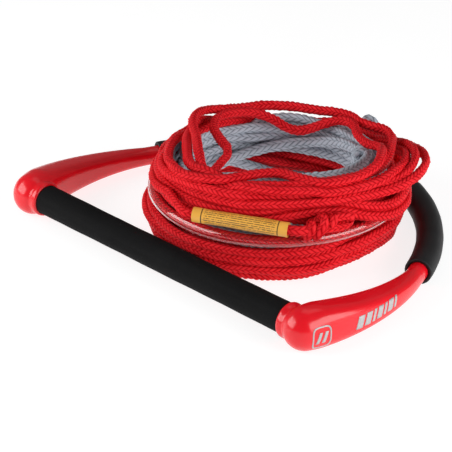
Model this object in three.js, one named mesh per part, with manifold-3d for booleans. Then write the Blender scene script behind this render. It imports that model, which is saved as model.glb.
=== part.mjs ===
// Tow rope handle for water sports: a straight grip bar between two moulded
// arms, two foam floats on the rope bridle that closes the handle's D, and the
// sectioned mainline wound into a coil that stands inside the D.
//
// Frame: millimetres, +X along the grip bar, +Y from the bar to the bridle's
// apex, +Z up. The origin is the middle of the handle's footprint, on the
// surface that it lies on.
import * as THREE from "three";
import { mergeVertices } from "three/addons/utils/BufferGeometryUtils.js";
import Module from "manifold-3d";

const wasm = await Module();
wasm.setup();

// ---------------------------------------------------------------- dimensions
// Grip bar
const TUBE_LENGTH = 381; // the 15 in bar
const TUBE_OD = 19;
const TUBE_ID = 16;
const GRIP_OD = 29.2; // a 1.15 in grip
const GRIP_LENGTH = 339;
const CORE_LENGTH = 344;
const BAR_Y = -142.2;
const BAR_Z = 20.6;

// Moulded arms
const HEAD_X = 186.5; // centre of each head, on the bar's axis
const HEAD_RADIUS = 21;
const MOUTH_X = 165; // face of the socket that holds the grip's end
const LIP_RADIUS = 17.2;
const GRIP_BORE_RADIUS = 14.9;
const GRIP_BORE_DEPTH = 5;
const TUBE_BORE_RADIUS = 9.8;
const ARM_FREE_LENGTH = 150; // from the head's centre to the start of the arc
const ARM_HEADING_START = -16; // degrees inwards from +Y
const ARM_HEADING_END = 20.5;
const ARM_HALF_WIDTH = 19.5;
const ARM_END_RADIUS = 9.4;
const SPIGOT_END = 195; // the arm reaches this far along, inside the float

// Bridle and floats, which share one circular arc on each side
const BRIDLE_ARC_RADIUS = 242;
const BRIDLE_Z = 13.2;
const BRIDLE_RADIUS = 5;
const BRIDLE_BORE_RADIUS = 5.7;
const ANCHOR_X = 182.5; // where the rope enters the tube
const STOPPER_RADIUS = 6.8;
const FLOAT_START = 163;
const FLOAT_LENGTH = 170;
const FLOAT_RADIUS = 13.2;
const FLOAT_WIDE_BORE = 10;
const FLOAT_WIDE_DEPTH = 66;
const FLOAT_NARROW_BORE = 6.4;

// Mainline and its coil
const ROPE_RADIUS = 4.25;
const COIL_Y = BAR_Y + 149.5;
const COIL_INNER = 101;
const COIL_OUTER = 127;
const COIL_WAIST = 107.8;
const LOWER_TOP = 40;
const WAIST_TOP = 79;
const COIL_TOP = 106;
const TOP_INNER = 84;
const GREY_INNER = 84;
const GREY_BOTTOM = 12;
const GAP = 0.4; // left between solids that touch

// Clear tube round the coil's waist
const CLEAR_RADIUS = 6.5;
const CLEAR_BORE = 5;
const CLEAR_PATH_RADIUS = 118.5;
const CLEAR_CENTRE = [6.6, COIL_Y - 3.1]; // its arc is a little off the coil's centre
const CLEAR_Z = 48;
const CLEAR_FROM = -137; // degrees round its own centre
const CLEAR_TO = 18;

// Sleeve on the mainline
const SLEEVE_RADIUS = 7;
const SLEEVE_BORE = 5;
const SLEEVE_FROM = [27, -126.4, 69];
const SLEEVE_TO = [105.7, -81.2, 65.5];
const SLEEVE_SLACK = 7; // straight rope past each end of the sleeve
const RED_KNOT = [120, -56.7, 65];
const RED_KNOT_RADII = [11, 10, 9.5];
const GREY_KNOT = [84.5, 44, 74.5]; // radius, degrees and z round the coil
const GREY_KNOT_RADII = [10, 10, 9.5];

// Where the mainline leaves the handle
const HITCH_HALF_WIDTH = 8;
const HITCH_RADIUS = 12.8;

const ROUND_SIDES = 20;
const ROPE_SIDES = 8;
const COIL_SIDES = 32;

// ------------------------------------------------------------------ materials
const LOOKS = {
  red_moulding: { color: 0xc8141f, roughness: 0.22, metalness: 0 },
  black_grip: { color: 0x1b1b1c, roughness: 0.85, metalness: 0 },
  black_foam: { color: 0x1d1d1e, roughness: 0.9, metalness: 0 },
  aluminium: { color: 0xb9bcc0, roughness: 0.35, metalness: 1 },
  white_foam: { color: 0xe8e6de, roughness: 0.95, metalness: 0 },
  bridle_rope: { color: 0x8f949a, roughness: 0.7, metalness: 0 },
  red_rope: { color: 0xc4151c, roughness: 0.55, metalness: 0 },
  grey_rope: { color: 0x85888d, roughness: 0.6, metalness: 0 },
  clear_vinyl: { color: 0xe9e4e2, roughness: 0.1, metalness: 0 },
  yellow_sleeve: { color: 0xf0b01e, roughness: 0.4, metalness: 0 },
};

const handle = new THREE.Group();
const leftFloatGroup = new THREE.Group();
const rightFloatGroup = new THREE.Group();
const mainline = new THREE.Group();
const part = new THREE.Group();
part.add(handle, leftFloatGroup, rightFloatGroup, mainline);

function addPiece(group, name, geometry, look) {
  const mesh = new THREE.Mesh(geometry, new THREE.MeshStandardMaterial(LOOKS[look]));
  mesh.name = name;
  group.add(mesh);
  return mesh;
}

// -------------------------------------------------------------- solid helpers
function toSolid(geometry) {
  const bare = geometry.clone();
  bare.deleteAttribute("normal");
  bare.deleteAttribute("uv");
  const merged = mergeVertices(bare, 1e-4);
  return new wasm.Manifold(
    new wasm.Mesh({
      numProp: 3,
      vertProperties: new Float32Array(merged.attributes.position.array),
      triVerts: new Uint32Array(merged.index.array),
    }),
  );
}

function toGeometry(solid) {
  const mesh = solid.getMesh();
  const geometry = new THREE.BufferGeometry();
  geometry.setAttribute("position", new THREE.BufferAttribute(mesh.vertProperties, 3));
  geometry.setIndex(new THREE.BufferAttribute(mesh.triVerts, 1));
  geometry.computeVertexNormals();
  return geometry;
}

// A polygon that stands for a circle, with a corner straight down.
function roundShape(radius, sides) {
  const points = [];
  for (let i = 0; i < sides; i++) {
    const angle = (2 * Math.PI * i) / sides;
    points.push(new THREE.Vector2(radius * Math.cos(angle), radius * Math.sin(angle)));
  }
  return new THREE.Shape(points);
}

function tubeAlong(curve, radius, steps, sides = ROPE_SIDES) {
  return new THREE.ExtrudeGeometry(roundShape(radius, sides), {
    steps,
    bevelEnabled: false,
    extrudePath: curve,
  });
}

// A solid of revolution about the X axis; the profile's points are [x, radius].
function lathedAboutX(profile, sides = ROUND_SIDES) {
  const points = profile.map(([x, radius]) => new THREE.Vector2(radius, x));
  const geometry = new THREE.LatheGeometry(points, sides);
  geometry.rotateZ(-Math.PI / 2);
  return geometry;
}

// A closed skin over rings of points, with a flat cap on each end.
function loft(rings) {
  const count = rings[0].length;
  const positions = rings.flat().flatMap((p) => [p.x, p.y, p.z]);
  const index = [];
  for (let r = 0; r + 1 < rings.length; r++) {
    for (let i = 0; i < count; i++) {
      const a = r * count + i;
      const b = r * count + ((i + 1) % count);
      index.push(a, b, a + count, b, b + count, a + count);
    }
  }
  const lastRing = (rings.length - 1) * count;
  for (let i = 1; i + 1 < count; i++) {
    index.push(0, i + 1, i);
    index.push(lastRing, lastRing + i, lastRing + i + 1);
  }
  const geometry = new THREE.BufferGeometry();
  geometry.setAttribute("position", new THREE.Float32BufferAttribute(positions, 3));
  geometry.setIndex(index);
  geometry.computeVertexNormals();
  return geometry;
}

// ------------------------------------------------------- centreline of a side
// side is +1 for the right arm and -1 for the left one. The distance along
// starts at the head's centre; past ARM_FREE_LENGTH the line is an arc.
const radians = THREE.MathUtils.degToRad;

function armHeading(distance) {
  const k = THREE.MathUtils.clamp(distance / ARM_FREE_LENGTH, 0, 1);
  const turned = 0.85 * k + 0.15 * k * k;
  return radians(ARM_HEADING_START + (ARM_HEADING_END - ARM_HEADING_START) * turned);
}

function planPoint(distance) {
  const reach = Math.min(distance, ARM_FREE_LENGTH);
  const stepCount = 60;
  const step = reach / stepCount;
  let x = HEAD_X;
  let y = BAR_Y;
  for (let i = 0; i < stepCount; i++) {
    const heading = armHeading((i + 0.5) * step);
    x -= Math.sin(heading) * step;
    y += Math.cos(heading) * step;
  }
  return [x, y];
}

const [ARC_START_X, ARC_START_Y] = planPoint(ARM_FREE_LENGTH);
const ARC_START_ANGLE = radians(ARM_HEADING_END);
const ARC_CENTRE_X = ARC_START_X - BRIDLE_ARC_RADIUS * Math.cos(ARC_START_ANGLE);
const ARC_CENTRE_Y = ARC_START_Y - BRIDLE_ARC_RADIUS * Math.sin(ARC_START_ANGLE);
// The arc meets its mirror image at the apex, where x is 0.
const APEX_ANGLE = Math.acos(-ARC_CENTRE_X / BRIDLE_ARC_RADIUS);
const APEX_DISTANCE = ARM_FREE_LENGTH + (APEX_ANGLE - ARC_START_ANGLE) * BRIDLE_ARC_RADIUS;
const APEX_Y = ARC_CENTRE_Y + BRIDLE_ARC_RADIUS * Math.sin(APEX_ANGLE);

function centreHeight(distance) {
  const levelled = 12; // the head's own stretch, which stays level
  const k = (distance - levelled) / (ARM_FREE_LENGTH - levelled);
  return THREE.MathUtils.lerp(BAR_Z, BRIDLE_Z, THREE.MathUtils.clamp(k, 0, 1));
}

function centrePoint(side, distance) {
  const z = centreHeight(distance);
  if (distance <= ARM_FREE_LENGTH) {
    const [x, y] = planPoint(Math.max(distance, 0));
    return new THREE.Vector3(side * x, y, z);
  }
  const angle = ARC_START_ANGLE + (distance - ARM_FREE_LENGTH) / BRIDLE_ARC_RADIUS;
  const x = ARC_CENTRE_X + BRIDLE_ARC_RADIUS * Math.cos(angle);
  const y = ARC_CENTRE_Y + BRIDLE_ARC_RADIUS * Math.sin(angle);
  return new THREE.Vector3(side * x, y, z);
}

class CentreStretch extends THREE.Curve {
  constructor(side, from, to) {
    super();
    this.side = side;
    this.from = from;
    this.to = to;
  }
  getPoint(t) {
    return centrePoint(this.side, THREE.MathUtils.lerp(this.from, this.to, t));
  }
}

// ------------------------------------------------------------------- the bar
function barTube(anchorBores) {
  const profile = [
    [-TUBE_LENGTH / 2, TUBE_ID / 2],
    [-TUBE_LENGTH / 2, TUBE_OD / 2],
    [TUBE_LENGTH / 2, TUBE_OD / 2],
    [TUBE_LENGTH / 2, TUBE_ID / 2],
    [-TUBE_LENGTH / 2, TUBE_ID / 2],
  ];
  let solid = toSolid(lathedAboutX(profile).translate(0, BAR_Y, BAR_Z));
  for (const bore of anchorBores) {
    solid = solid.subtract(bore);
  }
  return toGeometry(solid);
}

function gripSleeve() {
  const half = GRIP_LENGTH / 2;
  const outer = GRIP_OD / 2;
  const inner = TUBE_OD / 2 + GAP;
  const edge = 0.8;
  const profile = [
    [-half, inner],
    [-half, outer - edge],
    [-half + edge, outer],
    [half - edge, outer],
    [half, outer - edge],
    [half, inner],
    [-half, inner],
  ];
  return lathedAboutX(profile, 28).translate(0, BAR_Y, BAR_Z);
}

function flotationCore() {
  const radius = TUBE_ID / 2 - GAP;
  const core = new THREE.CylinderGeometry(radius, radius, CORE_LENGTH, 16);
  return core.rotateZ(Math.PI / 2).translate(0, BAR_Y, BAR_Z);
}

// ------------------------------------------------------------------ the arms
function armHalfHeight(distance) {
  const levelled = 10;
  const k = THREE.MathUtils.clamp((distance - levelled) / (ARM_FREE_LENGTH - levelled), 0, 1);
  return ARM_END_RADIUS + (HEAD_RADIUS - ARM_END_RADIUS) * Math.pow(1 - k, 1.8);
}

function armHalfWidth(distance) {
  const k = THREE.MathUtils.clamp(distance / ARM_FREE_LENGTH, 0, 1);
  return THREE.MathUtils.lerp(ARM_HALF_WIDTH, ARM_END_RADIUS, k);
}

// The arm's cross-section is squarer in the middle of the arm than at its ends.
function armRing(side, distance) {
  const along = Math.max(distance, 0);
  const centre = centrePoint(side, along);
  const ahead = centrePoint(side, along + 0.5);
  const forward = ahead.clone().sub(centre).setZ(0).normalize();
  const across = new THREE.Vector3(forward.y, -forward.x, 0);
  const closing = distance < 0 ? Math.sqrt(Math.max(1 - (distance / HEAD_RADIUS) ** 2, 0)) : 1;
  centre.addScaledVector(forward, Math.min(distance, 0));
  const middle = Math.sin(Math.PI * THREE.MathUtils.clamp(along / ARM_FREE_LENGTH, 0, 1));
  const power = 2 / (2 + 0.7 * middle);
  const ring = [];
  for (let i = 0; i < ROUND_SIDES; i++) {
    const angle = (-2 * Math.PI * i) / ROUND_SIDES;
    const c = Math.cos(angle);
    const s = Math.sin(angle);
    const w = Math.sign(c) * Math.pow(Math.abs(c), power) * armHalfWidth(along) * closing;
    const h = Math.sign(s) * Math.pow(Math.abs(s), power) * armHalfHeight(along) * closing;
    const point = centre.clone().addScaledVector(across, w);
    point.z += h;
    ring.push(point);
  }
  return ring;
}

// The rope's way through the tube's wall and the arm, out into the float.
function anchorPath(side) {
  const start = [
    new THREE.Vector3(side * ANCHOR_X, BAR_Y + STOPPER_RADIUS + GAP, BAR_Z),
    new THREE.Vector3(side * (ANCHOR_X + 0.5), BAR_Y + 18, BAR_Z),
    new THREE.Vector3(side * (ANCHOR_X + 6), BAR_Y + 34, BAR_Z - 1),
  ];
  for (let distance = 56; distance < ARM_FREE_LENGTH; distance += 18) {
    start.push(centrePoint(side, distance));
  }
  return start;
}

function anchorBore(side) {
  const points = anchorPath(side);
  for (let distance = ARM_FREE_LENGTH; distance <= SPIGOT_END + 10; distance += 11) {
    points.push(centrePoint(side, distance));
  }
  points[0].y -= 2;
  const curve = new THREE.CatmullRomCurve3(points, false, "centripetal");
  return toSolid(tubeAlong(curve, BRIDLE_BORE_RADIUS, 26, 10));
}

function socket(side) {
  const profile = [
    [MOUTH_X, 0],
    [MOUTH_X, LIP_RADIUS - 1.4],
    [MOUTH_X + 0.5, LIP_RADIUS - 0.5],
    [MOUTH_X + 1.6, LIP_RADIUS],
    [MOUTH_X + 5.5, LIP_RADIUS - 0.1],
    [MOUTH_X + 9, LIP_RADIUS - 1],
    [HEAD_X, LIP_RADIUS - 1],
    [HEAD_X, 0],
  ];
  const geometry = lathedAboutX(profile, 28);
  if (side < 0) {
    geometry.rotateZ(Math.PI);
  }
  return toSolid(geometry.translate(0, BAR_Y, BAR_Z));
}

function cylinderOnBar(side, radius, from, to) {
  const cylinder = new THREE.CylinderGeometry(radius, radius, to - from, 28);
  cylinder.rotateZ(Math.PI / 2).translate((side * (from + to)) / 2, BAR_Y, BAR_Z);
  return toSolid(cylinder);
}

function arm(side, bore) {
  const rings = [];
  const tip = HEAD_RADIUS - 0.3;
  for (let i = 0; i < 6; i++) {
    rings.push(armRing(side, -tip * Math.cos((Math.PI / 2) * (i / 6))));
  }
  for (let distance = 0; distance < ARM_FREE_LENGTH; distance += 12.5) {
    rings.push(armRing(side, distance));
  }
  for (let distance = ARM_FREE_LENGTH; distance <= SPIGOT_END; distance += 7.5) {
    rings.push(armRing(side, distance));
  }
  const floorCut = new THREE.BoxGeometry(80, 80, 10).translate(side * HEAD_X, BAR_Y, -5);
  const solid = toSolid(loft(rings))
    .add(socket(side))
    .subtract(cylinderOnBar(side, GRIP_BORE_RADIUS, MOUTH_X - 1, MOUTH_X + GRIP_BORE_DEPTH))
    .subtract(cylinderOnBar(side, TUBE_BORE_RADIUS, MOUTH_X, TUBE_LENGTH / 2 + GAP))
    .subtract(bore)
    .subtract(toSolid(floorCut));
  return toGeometry(solid);
}

function stopperKnot(side) {
  const knot = new THREE.SphereGeometry(STOPPER_RADIUS, 14, 10);
  return knot.translate(side * ANCHOR_X, BAR_Y, BAR_Z);
}

// ---------------------------------------------------------- bridle and floats
function bridleRope() {
  const right = anchorPath(1);
  for (let distance = ARM_FREE_LENGTH; distance < APEX_DISTANCE - 12; distance += 14) {
    right.push(centrePoint(1, distance));
  }
  const left = right.map((p) => new THREE.Vector3(-p.x, p.y, p.z)).reverse();
  const apex = new THREE.Vector3(0, APEX_Y - 0.5, BRIDLE_Z);
  const curve = new THREE.CatmullRomCurve3([...right, apex, ...left], false, "centripetal");
  return tubeAlong(curve, BRIDLE_RADIUS, 56);
}

function bridleFloat(side) {
  const end = FLOAT_START + FLOAT_LENGTH;
  const line = new CentreStretch(side, FLOAT_START, end);
  const outer = tubeAlong(line, FLOAT_RADIUS, 14, ROUND_SIDES);
  const wideEnd = FLOAT_START + FLOAT_WIDE_DEPTH;
  const wide = new CentreStretch(side, FLOAT_START - 3, wideEnd);
  const narrow = new CentreStretch(side, wideEnd - 3, end + 3);
  const solid = toSolid(outer)
    .subtract(toSolid(tubeAlong(wide, FLOAT_WIDE_BORE, 7, 16)))
    .subtract(toSolid(tubeAlong(narrow, FLOAT_NARROW_BORE, 9, 10)));
  return toGeometry(solid);
}

// ------------------------------------------------------- mainline: the coil
function onCoil(radius, degrees, z) {
  const angle = radians(degrees);
  return new THREE.Vector3(radius * Math.cos(angle), COIL_Y + radius * Math.sin(angle), z);
}

// A ring of rope turns: a band with rounded corners, turned about the coil's axis.
function coilRing(inner, outer, bottom, top, corner) {
  const profile = new THREE.Shape();
  profile.moveTo(inner + corner, bottom);
  profile.lineTo(outer - corner, bottom);
  profile.quadraticCurveTo(outer, bottom, outer, bottom + corner);
  profile.lineTo(outer, top - corner);
  profile.quadraticCurveTo(outer, top, outer - corner, top);
  profile.lineTo(inner + corner, top);
  profile.quadraticCurveTo(inner, top, inner, top - corner);
  profile.lineTo(inner, bottom + corner);
  profile.quadraticCurveTo(inner, bottom, inner + corner, bottom);
  const points = profile.getPoints(2);
  const ring = new THREE.LatheGeometry(points, COIL_SIDES);
  return ring.rotateX(Math.PI / 2).translate(0, COIL_Y, 0);
}

// The grey knot is pressed into the turns, which lie round it.
function besideGreyKnot(ring) {
  const room = GREY_KNOT_RADII.map((radius) => radius + 2 * GAP);
  return toGeometry(toSolid(ring).subtract(toSolid(knot(onCoil(...GREY_KNOT), room, 30))));
}

class ClearTubeArc extends THREE.Curve {
  constructor(from, to) {
    super();
    Object.assign(this, { from, to });
  }
  getPoint(t) {
    const angle = radians(THREE.MathUtils.lerp(this.from, this.to, t));
    const x = CLEAR_CENTRE[0] + CLEAR_PATH_RADIUS * Math.cos(angle);
    const y = CLEAR_CENTRE[1] + CLEAR_PATH_RADIUS * Math.sin(angle);
    return new THREE.Vector3(x, y, CLEAR_Z);
  }
}

function clearTube() {
  const outer = new ClearTubeArc(CLEAR_FROM, CLEAR_TO);
  const inner = new ClearTubeArc(CLEAR_FROM - 2, CLEAR_TO + 2);
  const solid = toSolid(tubeAlong(outer, CLEAR_RADIUS, 24, 12)).subtract(
    toSolid(tubeAlong(inner, CLEAR_BORE, 24, 10)),
  );
  return toGeometry(solid);
}

function clearTubeRope() {
  return tubeAlong(new ClearTubeArc(CLEAR_FROM - 14, CLEAR_TO + 14), ROPE_RADIUS, 28);
}

// --------------------------------------------------- mainline: loose stretches
const sleeveFrom = new THREE.Vector3(...SLEEVE_FROM);
const sleeveTo = new THREE.Vector3(...SLEEVE_TO);
const sleeveWay = sleeveTo.clone().sub(sleeveFrom).normalize();

function labelSleeve() {
  const outer = toSolid(tubeAlong(new THREE.LineCurve3(sleeveFrom, sleeveTo), SLEEVE_RADIUS, 1, 16));
  const boreLine = new THREE.LineCurve3(
    sleeveFrom.clone().addScaledVector(sleeveWay, -2),
    sleeveTo.clone().addScaledVector(sleeveWay, 2),
  );
  return toGeometry(outer.subtract(toSolid(tubeAlong(boreLine, SLEEVE_BORE, 1, 12))));
}

// Straight through the sleeve, and bent towards the coil past its ends.
function labelRope() {
  const length = sleeveFrom.distanceTo(sleeveTo);
  const stations = [-SLEEVE_SLACK, 0, 0.35 * length, 0.65 * length, length, length + SLEEVE_SLACK];
  const straight = stations.map((d) => sleeveFrom.clone().addScaledVector(sleeveWay, d).toArray());
  const coilEnd = onCoil(123, -99, 70.5).toArray();
  return rope([coilEnd, ...straight, [115.6, -66.8, 65.2]], 16);
}

function rope(points, steps) {
  const route = points.map((p) => new THREE.Vector3(...p));
  return tubeAlong(new THREE.CatmullRomCurve3(route, false, "centripetal"), ROPE_RADIUS, steps);
}

// A stretch given by points round the coil, each [radius, degrees, z].
function ropeRoundCoil(points, steps) {
  return rope(
    points.map((p) => onCoil(...p).toArray()),
    steps,
  );
}

function knot(centre, radii, turn) {
  const ball = new THREE.SphereGeometry(1, 12, 8);
  return ball.scale(...radii).rotateZ(radians(turn)).translate(...centre);
}

// The mainline's own loop, hitched round the bridle at its apex.
function mainlineHitch() {
  const inner = BRIDLE_RADIUS + 1.7;
  const half = HITCH_HALF_WIDTH;
  const corner = 3;
  const profile = [
    [-half, inner],
    [-half, HITCH_RADIUS - corner],
    [-half + corner, HITCH_RADIUS],
    [half - corner, HITCH_RADIUS],
    [half, HITCH_RADIUS - corner],
    [half, inner],
    [-half, inner],
  ];
  return lathedAboutX(profile).translate(0, APEX_Y - 0.5, BRIDLE_Z);
}

function leadRope() {
  const points = [
    [0, APEX_Y - 2, BRIDLE_Z + HITCH_RADIUS + 2 * GAP],
    [-0.5, APEX_Y - 4, 33],
    [-4, 149, 42],
    [-13, 140.6, 50],
    [-27, 131.6, 57],
    [-45, 120.6, 61],
  ];
  return rope(points, 12);
}

// The doubled end of the section that is tied off in the red knot.
function knotLoop() {
  const points = [
    [134, -21.6, 69.5],
    [134.5, -18.6, 70.6],
    [134.5, -16, 70.2],
    [134.5, -14.2, 67.8],
    [134.5, -14.2, 64],
    [134.5, -16, 61.2],
    [134.5, -18.6, 60.6],
    [134, -21.6, 61],
  ];
  return ropeRoundCoil(points, 22);
}

// Turns that stand out over the right float.
function sideLoop() {
  const points = [
    [132, -10, 88],
    [136, 2, 88],
    [144, 14, 86],
    [150, 27, 85],
    [148, 39, 86],
    [139, 50, 87],
    [132, 60, 88],
  ];
  return ropeRoundCoil(points, 16);
}

// The eye at the end of the grey section, which stands up behind the coil.
function greyEndLoop() {
  const points = [
    [132.5, 84.1, 60],
    [134, 84.6, 66],
    [134, 86.8, 71.5],
    [134, 90.2, 71.5],
    [134, 92.4, 66],
    [132.5, 92.9, 61],
  ];
  return ropeRoundCoil(points, 16);
}

// ------------------------------------------------------------------- assembly
const rightBore = anchorBore(1);
const leftBore = anchorBore(-1);
addPiece(handle, "bar_tube", barTube([leftBore, rightBore]), "aluminium");
addPiece(handle, "grip_sleeve", gripSleeve(), "black_grip");
addPiece(handle, "flotation_core", flotationCore(), "white_foam");
addPiece(handle, "left_arm", arm(-1, leftBore), "red_moulding");
addPiece(handle, "right_arm", arm(1, rightBore), "red_moulding");
addPiece(handle, "left_stopper_knot", stopperKnot(-1), "bridle_rope");
addPiece(handle, "right_stopper_knot", stopperKnot(1), "bridle_rope");
addPiece(handle, "bridle_rope", bridleRope(), "bridle_rope");
addPiece(leftFloatGroup, "left_float", bridleFloat(-1), "black_foam");
addPiece(rightFloatGroup, "right_float", bridleFloat(1), "black_foam");

const lowerRing = coilRing(COIL_INNER, COIL_OUTER, 0, LOWER_TOP, 8);
const waistRing = coilRing(COIL_INNER, COIL_WAIST, LOWER_TOP + GAP, WAIST_TOP, 3);
const topRing = besideGreyKnot(coilRing(TOP_INNER, COIL_OUTER, WAIST_TOP + GAP, COIL_TOP, 8));
const greyRing = besideGreyKnot(coilRing(GREY_INNER, COIL_INNER - GAP, GREY_BOTTOM, WAIST_TOP, 4));
addPiece(mainline, "lower_coil", lowerRing, "red_rope");
addPiece(mainline, "waist_coil", waistRing, "red_rope");
addPiece(mainline, "top_coil", topRing, "red_rope");
addPiece(mainline, "grey_coil", greyRing, "grey_rope");
addPiece(mainline, "clear_tube", clearTube(), "clear_vinyl");
addPiece(mainline, "clear_tube_rope", clearTubeRope(), "red_rope");
addPiece(mainline, "label_sleeve", labelSleeve(), "yellow_sleeve");
addPiece(mainline, "label_rope", labelRope(), "red_rope");
addPiece(mainline, "red_knot", knot(RED_KNOT, RED_KNOT_RADII, 30), "red_rope");
addPiece(mainline, "knot_loop", knotLoop(), "red_rope");
addPiece(mainline, "side_loop", sideLoop(), "red_rope");
addPiece(mainline, "grey_knot", knot(onCoil(...GREY_KNOT), GREY_KNOT_RADII, 30), "grey_rope");
addPiece(mainline, "grey_end_loop", greyEndLoop(), "grey_rope");
addPiece(mainline, "mainline_hitch", mainlineHitch(), "red_rope");
addPiece(mainline, "lead_rope", leadRope(), "red_rope");

export default part;
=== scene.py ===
import math
import random

import bmesh
import bpy
import numpy as np
from mathutils import Matrix, Vector
from mathutils.bvhtree import BVHTree


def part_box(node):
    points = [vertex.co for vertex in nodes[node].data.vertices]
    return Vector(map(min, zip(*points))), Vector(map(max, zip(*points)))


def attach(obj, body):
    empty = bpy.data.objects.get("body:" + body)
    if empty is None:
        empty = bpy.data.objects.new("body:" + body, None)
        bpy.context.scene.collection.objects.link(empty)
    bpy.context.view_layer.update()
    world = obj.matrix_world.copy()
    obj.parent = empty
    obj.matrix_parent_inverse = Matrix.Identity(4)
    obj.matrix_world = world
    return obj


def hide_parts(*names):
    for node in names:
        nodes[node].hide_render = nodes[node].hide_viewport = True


# Looks of a tow rope handle with its coiled line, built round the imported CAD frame.
# Routes and sizes are worked out in millimetres, and meshes are written in metres.
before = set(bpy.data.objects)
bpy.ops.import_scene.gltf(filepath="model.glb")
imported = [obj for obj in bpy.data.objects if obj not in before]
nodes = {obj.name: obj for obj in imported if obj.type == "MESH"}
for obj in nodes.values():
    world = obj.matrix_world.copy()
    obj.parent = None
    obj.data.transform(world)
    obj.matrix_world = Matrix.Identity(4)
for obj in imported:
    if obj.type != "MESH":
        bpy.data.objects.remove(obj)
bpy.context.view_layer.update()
MM = 0.001


def middle(node):
    low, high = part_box(node)
    return (low + high) / 2 / MM


# ------------------------------------------------------------ driving dimensions
COIL_Y = middle("lower_coil").y
BAR = middle("bar_tube")
APEX = middle("mainline_hitch")
BRIDLE_Z = APEX.z
RED_WIDTH, RED_THICKNESS = 9.8, 8.0
GREY_WIDTH, GREY_THICKNESS = 11.0, 7.6
BRIDLE_DIAMETER = 10.0
STITCH = 5.2  # length of one braid stitch along a rope
RINGS_PER_STITCH = 3
CLEAR_RADIUS, CLEAR_BORE, CLEAR_PATH_RADIUS, CLEAR_Z = 6.5, 5.3, 118.5, 48.0
CLEAR_CENTRE = (6.6, COIL_Y - 3.1)  # the tube's arc has its own centre
CLEAR_FROM, CLEAR_TO = -137, 18
SLEEVE_FROM, SLEEVE_TO, SLEEVE_RADIUS = (27, -126.4, 69), (105.7, -81.2, 65.5), 7.0
RED_KNOT = (120, -56.7, 65)
HITCH_REACH = 8.6  # from the bridle's middle to the middle of the line wrapped round it
GREY_KNOT = (84.5, 44, 74.5)  # radius, degrees and z round the coil


def on_coil(radius, degrees, z):
    angle = math.radians(degrees)
    return (radius * math.cos(angle), COIL_Y + radius * math.sin(angle), z)


def in_clear_tube(degrees):
    angle = math.radians(degrees)
    x = CLEAR_CENTRE[0] + CLEAR_PATH_RADIUS * math.cos(angle)
    return (x, CLEAR_CENTRE[1] + CLEAR_PATH_RADIUS * math.sin(angle), CLEAR_Z)


# ------------------------------------------------------------------------ camera
CAMERA_AZIMUTH, CAMERA_ELEVATION = math.radians(45.8), math.radians(27.185)
CAMERA_DISTANCE = 2.0685
CAMERA_LENS, CAMERA_SENSOR, CAMERA_REACH = 171.55, 36, 50
CAMERA_TARGET = Vector((-0.0033, -0.0548, 0.02))


def toward(azimuth, elevation):
    """The direction that a camera at this azimuth and elevation is seen in, from the object."""
    level = math.cos(elevation)
    return Vector((math.sin(azimuth) * level, -math.cos(azimuth) * level, math.sin(elevation)))


def add_camera():
    data = bpy.data.cameras.new("camera")
    data.sensor_width = CAMERA_SENSOR
    data.lens = CAMERA_LENS
    data.clip_end = CAMERA_REACH
    camera = bpy.data.objects.new("camera", data)
    bpy.context.scene.collection.objects.link(camera)
    back = toward(CAMERA_AZIMUTH, CAMERA_ELEVATION)
    camera.location = CAMERA_TARGET + back * CAMERA_DISTANCE
    camera.rotation_mode = "QUATERNION"
    camera.rotation_quaternion = (-back).to_track_quat("-Z", "Y")
    bpy.context.scene.camera = camera


add_camera()


# ------------------------------------------------------------------ curve helpers
def smooth_curve(points, per_segment=12):
    """A centripetal Catmull-Rom curve through the points, which may have more than 3 columns."""
    points = np.asarray(points, float)
    p = np.vstack([2 * points[0] - points[1], points, 2 * points[-1] - points[-2]])
    steps = np.sqrt(np.linalg.norm(np.diff(p[:, :3], axis=0), axis=1)) + 1e-6
    knots = np.concatenate([[0], np.cumsum(steps)])
    out = []
    for i in range(1, len(p) - 2):
        t = np.linspace(knots[i], knots[i + 1], per_segment, endpoint=False)[:, None]

        def between(a, b, i_a, i_b):
            share = (t - knots[i_a]) / (knots[i_b] - knots[i_a])
            return a + (b - a) * share

        a1 = between(p[i - 1], p[i], i - 1, i)
        a2 = between(p[i], p[i + 1], i, i + 1)
        a3 = between(p[i + 1], p[i + 2], i + 1, i + 2)
        b1 = between(a1, a2, i - 1, i + 1)
        b2 = between(a2, a3, i, i + 2)
        out.append(between(b1, b2, i, i + 1))
    out.append(p[-2][None])
    return np.vstack(out)


def length_of(path):
    return float(np.linalg.norm(np.diff(path[:, :3], axis=0), axis=1).sum())


def evenly(path, spacing):
    """The same path with its points at an even spacing."""
    along = np.concatenate([[0], np.cumsum(np.linalg.norm(np.diff(path[:, :3], axis=0), axis=1))])
    count = max(3, int(round(along[-1] / spacing)) + 1)
    stations = np.linspace(0, along[-1], count)
    return np.stack([np.interp(stations, along, column) for column in path.T], axis=1)


def unit(vectors):
    return vectors / np.maximum(np.linalg.norm(vectors, axis=-1, keepdims=True), 1e-9)


def tangents_of(path):
    return unit(np.gradient(path[:, :3], axis=0))


def smooth_step(x):
    x = np.clip(x, 0, 1)
    return x * x * (3 - 2 * x)


# --------------------------------------------------------------- mainline's route
# Each stretch is a list of (x, y, z, hold). hold is how firmly the stretch keeps its
# place when the turns settle against each other: 1 stays where it is.
FIXED, TRACED, LOOSE = 1.0, 0.45, 0.08
POINTS_PER_TURN = 16
NEAR_SIDE = -45  # degrees round the coil; the far side is opposite
SWAY, SHORT_SWAY = 1.4, 0.9  # how far a loose turn wanders in and out
HEAVE, SHORT_HEAVE = 2.2, 1.5  # and up and down
SLOT_CHANGE = 0.2  # of a turn


def stretch(points, hold):
    return [(*point, hold) for point in points]


def round_coil(points, hold):
    return stretch([on_coil(*point) for point in points], hold)


def swelling(degrees, centre, width):
    """A smooth bump from 0 to 1 round the coil."""
    off = (degrees - centre + 180) % 360 - 180
    return math.exp(-((off / width) ** 2))


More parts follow.
